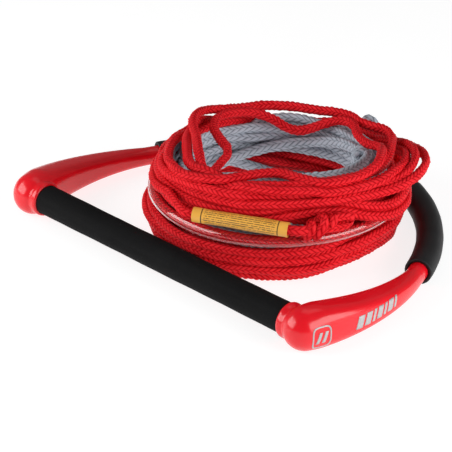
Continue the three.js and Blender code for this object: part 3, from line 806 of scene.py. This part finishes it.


# Rope colours come in threes. The first is painted shade for the gaps between stitches, and the middle is
# the rope's own colour. The last is a painted highlight for the stitch crowns and the bright fibres.
RED_PAINTED_SHADE, RED_BASE, RED_PAINTED_HIGHLIGHT = (0.17, 0.0004, 0.0014), (0.5, 0.0015, 0.006), (0.82, 0.022, 0.03)
GREY_PAINTED_SHADE, GREY_BASE, GREY_PAINTED_HIGHLIGHT = (0.05, 0.058, 0.07), (0.29, 0.33, 0.38), (0.52, 0.57, 0.64)
BRIDLE_PAINTED_SHADE, BRIDLE_BASE, BRIDLE_PAINTED_HIGHLIGHT = (0.03, 0.03, 0.032), (0.2, 0.205, 0.215), (0.36, 0.37, 0.38)
MATERIALS = {
    "red_line": rope_material("red_line", RED_PAINTED_SHADE, RED_BASE, RED_PAINTED_HIGHLIGHT, 0.5),
    "grey_line": rope_material("grey_line", GREY_PAINTED_SHADE, GREY_BASE, GREY_PAINTED_HIGHLIGHT, 0.52),
    "bridle_line": rope_material("bridle_line", BRIDLE_PAINTED_SHADE, BRIDLE_BASE, BRIDLE_PAINTED_HIGHLIGHT, 0.6),
    "red_moulding": moulded_red(),
    "grip_rubber": grip_rubber(),
    "float_foam": closed_cell_foam("float_foam", (0.005, 0.005, 0.0055), (0.014, 0.014, 0.015)),
    "core_foam": closed_cell_foam("core_foam", (0.6, 0.59, 0.55), (0.78, 0.77, 0.72)),
    "bar_aluminium": brushed_aluminium(),
    "clear_vinyl": clear_vinyl(),
    "yellow_sleeve": sleeve_yellow(),
}


def finish_piece(obj, slot, body, *replaced):
    """Gives a piece the material listed under slot, makes it ride on a body and hides the nodes it stands
    for.
    """
    obj.data.materials.clear()
    obj.data.materials.append(MATERIALS[slot])
    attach(obj, body)
    if replaced:
        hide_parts(*replaced)
    return obj


# ------------------------------------------------------------------------- cords
def knot_path(centre, axis, up_radius, out_radius, turns, pitch, lean):
    """Wraps round a level axis, which lean over, with both ends tucked into the middle."""
    axis = unit(np.array([axis[0], axis[1], 0.0]))
    outward = np.array([axis[1], -axis[0], 0.0])
    t = np.linspace(0, 1, int(turns * 16) + 1)
    angle = 2 * np.pi * turns * t
    tuck = 0.35 + 0.65 * smooth_step(np.minimum(t, 1 - t) * turns * 4)
    high = up_radius * np.cos(angle) * tuck
    out = out_radius * np.sin(angle) * tuck
    along = pitch * turns * (t - 0.5) + lean * high
    level = along[:, None] * axis + out[:, None] * outward
    return np.array(centre) + level + high[:, None] * np.array([0, 0, 1.0])


def hitch_path():
    """A lark's head: the loop's two sides pass round the bridle, and its bight crosses over them."""
    wraps = []
    for first, step, side in ((80, -30, 4.6), (-280, 30, -3.4)):
        if wraps:
            wraps += [(2.5, -11.5, 7), (-2.5, -12.5, 5)]
        for i in range(13):
            angle = math.radians(first + i * step)
            wraps.append((side - 0.1 * i, HITCH_REACH * math.cos(angle), HITCH_REACH * math.sin(angle)))
    return np.array(wraps) + np.array([0, APEX.y, BRIDLE_Z])


def rope_on_handle():
    routes = [handle_section(), middle_section(), grey_section()]
    settled = settle(routes, (RED_THICKNESS + 0.2, RED_THICKNESS + 0.2, GREY_THICKNESS + 0.2))
    handle_line, handle_way = braided_rope(
        "handle_section", settled[0], RED_WIDTH, rounder_in_tube, 51, lambda p: coil_hint(p, 5)
    )
    middle_line, middle_way = braided_rope(
        "middle_section", settled[1], RED_WIDTH, RED_THICKNESS, 52, lambda p: coil_hint(p, 6)
    )
    grey_line, grey_way = braided_rope(
        "grey_section", settled[2], GREY_WIDTH, GREY_THICKNESS, 53, lambda p: coil_hint(p, 7), stitch=7.6
    )
    red_route = knot_path(RED_KNOT, (0.68, 0.73), 8.6, 7.4, 2.2, 8.4, 0.75)
    red_knot, _ = braided_rope("red_knot_wraps", red_route, 9.4, 7.4, 54)
    grey_route = knot_path(on_coil(*GREY_KNOT), (0.5, -0.85), 7.2, 7.2, 2.3, 7.6, -0.5)
    grey_knot, _ = braided_rope("grey_knot_wraps", grey_route, 9.4, 7.2, 55)
    hitch, _ = braided_rope("hitch_wraps", hitch_path(), 8.2, 6.6, 56)
    turns = ("lower_coil", "waist_coil", "clear_tube_rope", "label_rope", "lead_rope")
    finish_piece(handle_line, "red_line", "handle", *turns)
    finish_piece(middle_line, "red_line", "handle", "top_coil", "side_loop", "knot_loop")
    finish_piece(grey_line, "grey_line", "handle", "grey_coil", "grey_end_loop")
    finish_piece(red_knot, "red_line", "handle", "red_knot")
    finish_piece(grey_knot, "grey_line", "handle", "grey_knot")
    finish_piece(hitch, "red_line", "handle", "mainline_hitch")
    lines = ((handle_line, handle_way), (middle_line, middle_way), (grey_line, grey_way))
    return lines, (red_knot, grey_knot, hitch)


lines, (red_knot, grey_knot, hitch) = rope_on_handle()


# ------------------------------------------------------------------ line of a side
HEAD_X, HEAD_RADIUS, ARM_LENGTH = 186.5, 21.0, 150.0
ARM_END_RADIUS, ARM_HALF_WIDTH = 9.4, 19.5
SPIGOT_END = 195
ARM_SIDES, ARM_STEP, ARM_VOXEL, ARM_SMOOTHING = 72, 4, 0.0011, 7
FLOAT_START, FLOAT_LENGTH, FLOAT_RADIUS = 163, 170, 13.2
FLOAT_WIDE_BORE, FLOAT_WIDE_DEPTH, FLOAT_NARROW_BORE = 10.0, 66, 6.4
ANCHOR_X, STOPPER_RADIUS = 182.5, 6.8
MOUTH_X, LIP_RADIUS, SOCKET_BORE, GRIP_RADIUS = 165.0, 17.2, 14.85, 14.6


def heading(distance):
    k = np.clip(np.asarray(distance, float) / ARM_LENGTH, 0, 1)
    return np.radians(-16 + 36.5 * (0.85 * k + 0.15 * k * k))


SIDE_STATIONS = np.linspace(0, ARM_LENGTH, 601)
_HALFWAY = (SIDE_STATIONS[1:] + SIDE_STATIONS[:-1]) / 2
_STEP = SIDE_STATIONS[1]
_PLAN_X = HEAD_X - np.concatenate([[0], np.cumsum(np.sin(heading(_HALFWAY)) * _STEP)])
_PLAN_Y = BAR.y + np.concatenate([[0], np.cumsum(np.cos(heading(_HALFWAY)) * _STEP)])
ARC_START = math.radians(20.5)
ARC_X = _PLAN_X[-1] - ARC_RADIUS * math.cos(ARC_START)
ARC_Y = _PLAN_Y[-1] - ARC_RADIUS * math.sin(ARC_START)
APEX_DISTANCE = ARM_LENGTH + (math.acos(-ARC_X / ARC_RADIUS) - ARC_START) * ARC_RADIUS


def centre_line(distance):
    """Point on the right side's centreline, at a distance from the head's centre."""
    z = np.interp(distance, (12, ARM_LENGTH), (BAR.z, BRIDLE_Z))
    if distance <= ARM_LENGTH:
        x = np.interp(distance, SIDE_STATIONS, _PLAN_X)
        y = np.interp(distance, SIDE_STATIONS, _PLAN_Y)
    else:
        angle = ARC_START + (distance - ARM_LENGTH) / ARC_RADIUS
        x, y = ARC_X + ARC_RADIUS * math.cos(angle), ARC_Y + ARC_RADIUS * math.sin(angle)
    return np.array([x, y, z], float)


def line_stretch(start, end, spacing):
    count = max(2, int(round((end - start) / spacing)) + 1)
    return np.array([centre_line(d) for d in np.linspace(start, end, count)])


# ------------------------------------------------------------- lofts and revolved
def tube_mesh(name, path, profile, sides, seam=None, hint=None):
    """Rings round a path. profile holds (station along the path, radius), and closes on itself."""
    along = np.concatenate([[0], np.cumsum(np.linalg.norm(np.diff(path, axis=0), axis=1))])
    tangent, wide, thick = cross_axes(path, np.tile(hint or (0.0, 0.0, 1.0), (len(path), 1)))
    vertices, uv_rings = [], []
    angles = 2 * np.pi * np.arange(sides) / sides
    for station, radius in profile:
        at = [np.interp(station, along, column) for column in path.T]
        w = unit(np.array([np.interp(station, along, column) for column in wide.T]))
        t = unit(np.array([np.interp(station, along, column) for column in thick.T]))
        radii = radius * np.ones(sides) if seam is None else radius - seam(angles, station)
        ring = at + radii[:, None] * (np.cos(angles)[:, None] * w + np.sin(angles)[:, None] * t)
        vertices.append(ring)
        uv_rings.append(station / along[-1])
    rings = len(profile)
    faces, uv = [], []
    for r in range(rings):
        following = (r + 1) % rings
        for i in range(sides):
            j = (i + 1) % sides
            faces.append([r * sides + i, following * sides + i, following * sides + j, r * sides + j])
            top, bottom = i / sides, (i + 1) / sides
            here, there = uv_rings[r], uv_rings[following]
            uv += [(here, top), (there, top), (there, bottom), (here, bottom)]
    obj = new_mesh(name, (np.vstack(vertices) * MM).tolist(), faces)
    layer = obj.data.uv_layers.new(name="sleeve")
    layer.data.foreach_set("uv", np.array(uv, np.float32).ravel())
    obj.data.update()
    fix_normals(obj)
    return obj


def fix_normals(obj):
    made = bmesh.new()
    made.from_mesh(obj.data)
    bmesh.ops.recalc_face_normals(made, faces=made.faces)
    made.to_mesh(obj.data)
    made.free()


def hollow_profile(length, outer, inner, edge, spacing, wall=lambda s: 0.0):
    """A tube's profile with rounded edges: out along the outside and back along the bore."""
    corner = [(math.radians(a), edge) for a in (0, 22, 45, 68, 90)]
    profile = [(edge - e * math.cos(a), outer - edge + e * math.sin(a)) for a, e in corner]
    outside = np.arange(edge + spacing, length - edge - spacing / 2, spacing)
    profile += [(s, outer + wall(s)) for s in outside]
    profile += [(length - edge + e * math.sin(a), outer - edge + e * math.cos(a)) for a, e in corner]
    profile += [(length - 0.4, inner), (length - 4, inner)]
    profile += [(s, inner) for s in np.arange(length - 4 - spacing, 4, -spacing * 2)]
    profile += [(4, inner), (0.4, inner)]
    return profile


def straight(start, end, spacing=4.0):
    start, end = np.array(start, float), np.array(end, float)
    count = max(3, int(np.linalg.norm(end - start) / spacing) + 1)
    return start + (end - start) * np.linspace(0, 1, count)[:, None]


# --------------------------------------------------------------------- grip bar
def build_grip():
    half = (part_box("grip_sleeve")[1].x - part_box("grip_sleeve")[0].x) / 2 / MM

    def seam(angles, station):
        nearest = np.abs((angles - math.radians(118) + np.pi) % (2 * np.pi) - np.pi)
        return 0.28 * np.exp(-((nearest / 0.035) ** 2))

    def swell(station):
        return 0.12 * math.sin(station / 23) + 0.08 * math.sin(station / 7.3)

    path = straight((-half, BAR.y, BAR.z), (half, BAR.y, BAR.z))
    profile = hollow_profile(2 * half, GRIP_RADIUS, 9.8, 1.4, 4.5, swell)
    grip = tube_mesh("grip_cushion", path, profile, 128, seam)
    finish_piece(grip, "grip_rubber", "handle", "grip_sleeve")


# ------------------------------------------------------------------------- arms
def arm_half_height(distance):
    k = np.clip((distance - 10) / (ARM_LENGTH - 10), 0, 1)
    return ARM_END_RADIUS + (HEAD_RADIUS - ARM_END_RADIUS) * (1 - k) ** 1.8


def arm_half_width(distance):
    k = np.clip(distance / ARM_LENGTH, 0, 1)
    return ARM_HALF_WIDTH + (ARM_END_RADIUS - ARM_HALF_WIDTH) * k


def arm_ring(distance, sides):
    """The arm's cross-section: round at its ends, and squarer between them."""
    along = max(distance, 0)
    centre = centre_line(along)
    ahead = heading(along) if along < ARM_LENGTH else ARC_START + (along - ARM_LENGTH) / ARC_RADIUS
    forward = np.array([-math.sin(ahead), math.cos(ahead), 0])
    outward = np.array([forward[1], -forward[0], 0])
    closing = math.sqrt(max(1 - (min(distance, 0) / HEAD_RADIUS) ** 2, 0))
    centre = centre + forward * min(distance, 0)
    squared = math.sin(math.pi * min(along / ARM_LENGTH, 1))
    power = 2 / (2 + 1.5 * squared)
    angle = 2 * np.pi * np.arange(sides) / sides
    c, s = np.cos(angle), np.sin(angle)
    w = np.sign(c) * np.abs(c) ** power * arm_half_width(along) * closing
    h = np.sign(s) * np.abs(s) ** power * arm_half_height(along) * closing
    return centre + w[:, None] * outward + h[:, None] * np.array([0, 0, 1])


def loft(name, rings):
    count = len(rings[0])
    faces = []
    for r in range(len(rings) - 1):
        for i in range(count):
            j = (i + 1) % count
            faces.append([r * count + i, r * count + j, (r + 1) * count + j, (r + 1) * count + i])
    last = (len(rings) - 1) * count
    faces += [list(range(count))[::-1], [last + i for i in range(count)]]
    obj = new_mesh(name, (np.vstack(rings) * MM).tolist(), faces)
    fix_normals(obj)
    return obj


def revolved(name, profile, sides=96):
    """A closed solid about the bar's axis. profile holds (x, radius)."""
    angle = 2 * np.pi * np.arange(sides) / sides
    rings = []
    for x, radius in profile:
        across, up = BAR.y + radius * np.cos(angle), BAR.z + radius * np.sin(angle)
        rings.append(np.stack([np.full(sides, x), across, up], axis=1))
    return loft(name, rings)


def apply_modifiers(obj):
    graph = bpy.context.evaluated_depsgraph_get()
    made = bpy.data.meshes.new_from_object(obj.evaluated_get(graph))
    obj.modifiers.clear()
    old = obj.data
    obj.data = made
    bpy.data.meshes.remove(old)
    made.polygons.foreach_set("use_smooth", [True] * len(made.polygons))


def combine(obj, other, operation):
    cut = obj.modifiers.new("combine", "BOOLEAN")
    cut.operation = operation
    cut.solver = "EXACT"
    cut.object = other
    apply_modifiers(obj)
    bpy.data.objects.remove(other)


def build_arm():
    """The right arm: head, socket and tapering arm in one smooth moulding."""
    tip = HEAD_RADIUS - 0.05
    stations = [-tip * math.cos(a) for a in np.linspace(0.02, math.pi / 2, 14)[:-1]]
    stations += [*np.arange(0, ARM_LENGTH, ARM_STEP), *np.arange(ARM_LENGTH, SPIGOT_END + 1, ARM_STEP)]
    rings = [arm_ring(station, ARM_SIDES) for station in stations]
    arm = loft("right_arm_moulding", rings)
    neck = [
        (MOUTH_X, 0.5),
        (MOUTH_X, LIP_RADIUS - 1.2),
        (MOUTH_X + 0.5, LIP_RADIUS - 0.4),
        (MOUTH_X + 1.4, LIP_RADIUS),
        (MOUTH_X + 4.6, LIP_RADIUS),
        (MOUTH_X + 6.2, LIP_RADIUS - 0.3),
        (MOUTH_X + 8.5, LIP_RADIUS - 0.9),
        (MOUTH_X + 12, LIP_RADIUS - 0.6),
        (HEAD_X, LIP_RADIUS),
        (HEAD_X, 0.5),
    ]
    combine(arm, revolved("neck", neck), "UNION")
    remesh = arm.modifiers.new("even", "REMESH")
    remesh.mode = "VOXEL"
    remesh.voxel_size = ARM_VOXEL
    smooth = arm.modifiers.new("soften", "SMOOTH")
    smooth.factor, smooth.iterations = 0.5, ARM_SMOOTHING
    apply_modifiers(arm)
    bore = revolved("bore", [(MOUTH_X - 3, SOCKET_BORE), (MOUTH_X + 5, SOCKET_BORE)])
    combine(arm, bore, "DIFFERENCE")
    return arm


def mirrored(obj, name):
    mesh = obj.data.copy()
    mesh.transform(Matrix.Scale(-1, 4, (1, 0, 0)))
    mesh.flip_normals()
    other = bpy.data.objects.new(name, mesh)
    bpy.context.scene.collection.objects.link(other)
    return other


# Marks on the right arm's outer face, placed by distance along the arm and height.
def on_outer_face(tree, distance, height):
    ahead = heading(max(distance, 0))
    forward = np.array([-math.sin(ahead), math.cos(ahead), 0])
    outward = np.array([math.cos(ahead), math.sin(ahead), 0])
    centre = centre_line(max(distance, 0)) + forward * min(distance, 0)
    start = centre + outward * 60 + np.array([0, 0, height])
    hit, normal, _, _ = tree.ray_cast(Vector(start * MM), Vector(-outward))
    return np.array(hit) + np.array(normal) * 0.00012


def patch(vertices, faces, tree, corners, columns, rows):
    """Adds a grid over four corners, given as (distance, height), laid on the arm."""
    base = len(vertices)
    a, b, c, d = (np.array(corner, float) for corner in corners)
    for r in range(rows + 1):
        left = a + (d - a) * r / rows
        right = b + (c - b) * r / rows
        for k in range(columns + 1):
            distance, height = left + (right - left) * k / columns
            vertices.append(on_outer_face(tree, distance, height))
    for r in range(rows):
        for k in range(columns):
            i = base + r * (columns + 1) + k
            faces.append([i, i + 1, i + columns + 2, i + columns + 1])


BARS = ((42, 7.5), (52, 7), (61.5, 3), (67, 6.5), (76, 3), (81.5, 7), (91, 3))  # distance, width
BADGE_AT, BADGE_FRAME = (6.0, -2.5), (9.4, 8.1)
PRINT_FILM = 0.0003


def build_marks(arm):
    """Plain slanted bars and a framed badge in silver print."""
    tree = BVHTree.FromObject(arm, bpy.context.evaluated_depsgraph_get())
    vertices, faces = [], []
    lean = 3.4
    for k, (start, size) in enumerate(BARS):
        tall = 12.4 - 0.35 * k
        low = 0.55 * k - tall / 2
        high = low + tall
        corners = ((start, low), (start + size, low), (start + size + lean, high), (start + lean, high))
        patch(vertices, faces, tree, corners, 6, 8)
    stripes = new_mesh("arm_stripes", vertices, faces)
    vertices, faces = [], []
    sides = 56
    middle_at, level = BADGE_AT
    for k in range(sides):
        angle = 2 * math.pi * k / sides
        c, s = math.cos(angle), math.sin(angle)
        reach_c = math.copysign(abs(c) ** 0.5, c)
        reach_s = math.copysign(abs(s) ** 0.5, s)
        for size in BADGE_FRAME:
            vertices.append(on_outer_face(tree, middle_at + reach_c * size, level + reach_s * (size + 1.8)))
    for k in range(sides):
        j = (k + 1) % sides
        faces.append([2 * k, 2 * j, 2 * j + 1, 2 * k + 1])
    for at in (-5, 1):
        low, high = level - 5.5, level + 5.5
        left, right = middle_at + at, middle_at + at + 3.2
        corners = ((left - 1, low), (right - 1, low), (right + 2.2, high), (left + 2.2, high))
        patch(vertices, faces, tree, corners, 3, 8)
    badge = new_mesh("arm_badge", vertices, faces)
    for mark in (stripes, badge):
        thicken = mark.modifiers.new("film", "SOLIDIFY")
        thicken.thickness = PRINT_FILM
        thicken.offset = 0
        apply_modifiers(mark)
        mark.data.materials.append(SILVER)
        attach(mark, "handle")


SILVER = silver_print()


def build_arms():
    arm = build_arm()
    other = mirrored(arm, "left_arm_moulding")
    finish_piece(arm, "red_moulding", "handle", "right_arm")
    finish_piece(other, "red_moulding", "handle", "left_arm")
    build_marks(arm)


# ------------------------------------------------------- bridle, floats, stoppers
def build_bridle():
    right = [
        (ANCHOR_X, BAR.y + STOPPER_RADIUS + 0.4, BAR.z),
        (ANCHOR_X + 0.5, BAR.y + 18, BAR.z),
        (ANCHOR_X + 6, BAR.y + 34, BAR.z - 1),
    ]
    right += [tuple(centre_line(d)) for d in range(56, 150, 18)]
    right += [tuple(centre_line(d)) for d in np.arange(ARM_LENGTH, APEX_DISTANCE - 12, 14)]
    left = [(-x, y, z) for x, y, z in reversed(right)]
    route = np.array([*right, (0, APEX.y, BRIDLE_Z), *left])
    route = evenly(smooth_curve(route), 5)
    rope, way = braided_rope("bridle_line", route, BRIDLE_DIAMETER, BRIDLE_DIAMETER, 57)
    finish_piece(rope, "bridle_line", "handle", "bridle_rope")
    knots = []
    for side, name in ((1, "right"), (-1, "left")):
        centre = (side * ANCHOR_X, BAR.y, BAR.z)
        wraps = knot_path(centre, (0, 1), 3.6, 3.6, 2, 4.4, 0.3)
        knot, _ = braided_rope(name + "_stopper_wraps", wraps, 5.2, 4.6, 58)
        finish_piece(knot, "bridle_line", "handle", name + "_stopper_knot")
        knots.append(knot)
    return rope, way, knots


def build_floats():
    path = line_stretch(FLOAT_START, FLOAT_START + FLOAT_LENGTH, 5)

    def swell(station):
        return 0.15 * math.sin(station / 17) + 0.08 * math.sin(station / 5.1)

    profile = hollow_profile(FLOAT_LENGTH, FLOAT_RADIUS, FLOAT_WIDE_BORE, 1.1, 5, swell)
    narrow = [r == FLOAT_WIDE_BORE and s > FLOAT_WIDE_DEPTH for s, r in profile]
    bored = [(s, FLOAT_NARROW_BORE if n else r) for n, (s, r) in zip(narrow, profile)]
    right = tube_mesh("right_foam_float", path, bored, 64)
    left = mirrored(right, "left_foam_float")
    for side, piece in (("right", right), ("left", left)):
        finish_piece(piece, "float_foam", side + "_float", side + "_float")


# ------------------------------------------------------------ clear tube, sleeve
def build_clear_tube():
    path = np.array([in_clear_tube(d) for d in np.arange(CLEAR_FROM, CLEAR_TO + 0.1, 2.5)])
    profile = hollow_profile(length_of(path), CLEAR_RADIUS, CLEAR_BORE, 0.5, 4)
    tube = tube_mesh("clear_vinyl_tube", path, profile, 40)
    return finish_piece(tube, "clear_vinyl", "clear_tube", "clear_tube")


def build_sleeve():
    path = straight(SLEEVE_FROM, SLEEVE_TO)

    def crease(angles, station):
        waves = 0.22 * np.sin(2 * angles + station / 11) + 0.1 * np.sin(5 * angles - station / 6)
        return waves * min(1, station / 8, max(0, SLEEVE_LENGTH - station) / 8)

    profile = hollow_profile(SLEEVE_LENGTH, SLEEVE_RADIUS, 6.0, 0.3, 2)
    sleeve = tube_mesh("yellow_sleeve", path, profile, 56, crease)
    return finish_piece(sleeve, "yellow_sleeve", "label_sleeve", "label_sleeve")


build_grip()
build_arms()
bridle, bridle_way, stoppers = build_bridle()
build_floats()
clear_tube = build_clear_tube()
sleeve = build_sleeve()
for node_name, slot_name in (("bar_tube", "bar_aluminium"), ("flotation_core", "core_foam")):
    nodes[node_name].data.materials.clear()
    nodes[node_name].data.materials.append(MATERIALS[slot_name])


# --------------------------------------------------------------- stage and lights
FLOOR_SIZE, FLOOR_Z = 12.0, -0.0002
WORLD_STRENGTH = 0.16
# Each light is (name, azimuth, elevation, distance, size, power).
LIGHTS = (
    ("key", -34, 24, 1.5, (1.4, 0.9), 18),
    ("fill", 98, 20, 1.5, (1.4, 0.9), 18),
    ("top", 200, 72, 1.7, (1.1, 0.8), 1.5),
)


def add_stage():
    corners = [(FLOOR_SIZE * x, FLOOR_SIZE * y, 0) for x, y in ((-1, -1), (1, -1), (1, 1), (-1, 1))]
    floor = new_mesh("floor", corners, [[0, 1, 2, 3]])
    floor.location.z = FLOOR_Z
    floor.data.materials.append(floor_white())


def add_light(name, azimuth, elevation, distance, size, power):
    data = bpy.data.lights.new(name, "AREA")
    data.shape = "RECTANGLE"
    data.size, data.size_y = size
    data.energy = power
    light = bpy.data.objects.new(name, data)
    bpy.context.scene.collection.objects.link(light)
    direction = toward(math.radians(azimuth), math.radians(elevation))
    light.location = Vector((0, 0, 0.03)) + direction * distance
    light.rotation_mode = "QUATERNION"
    light.rotation_quaternion = (-direction).to_track_quat("-Z", "Y")


def add_world():
    world = bpy.data.worlds.new("studio")
    world.use_nodes = True
    background = world.node_tree.nodes["Background"]
    background.inputs["Color"].default_value = (1, 1, 1, 1)
    background.inputs["Strength"].default_value = WORLD_STRENGTH
    bpy.context.scene.world = world


add_stage()
for light in LIGHTS:
    add_light(*light)
add_world()
bpy.context.scene.view_settings.view_transform = "Standard"
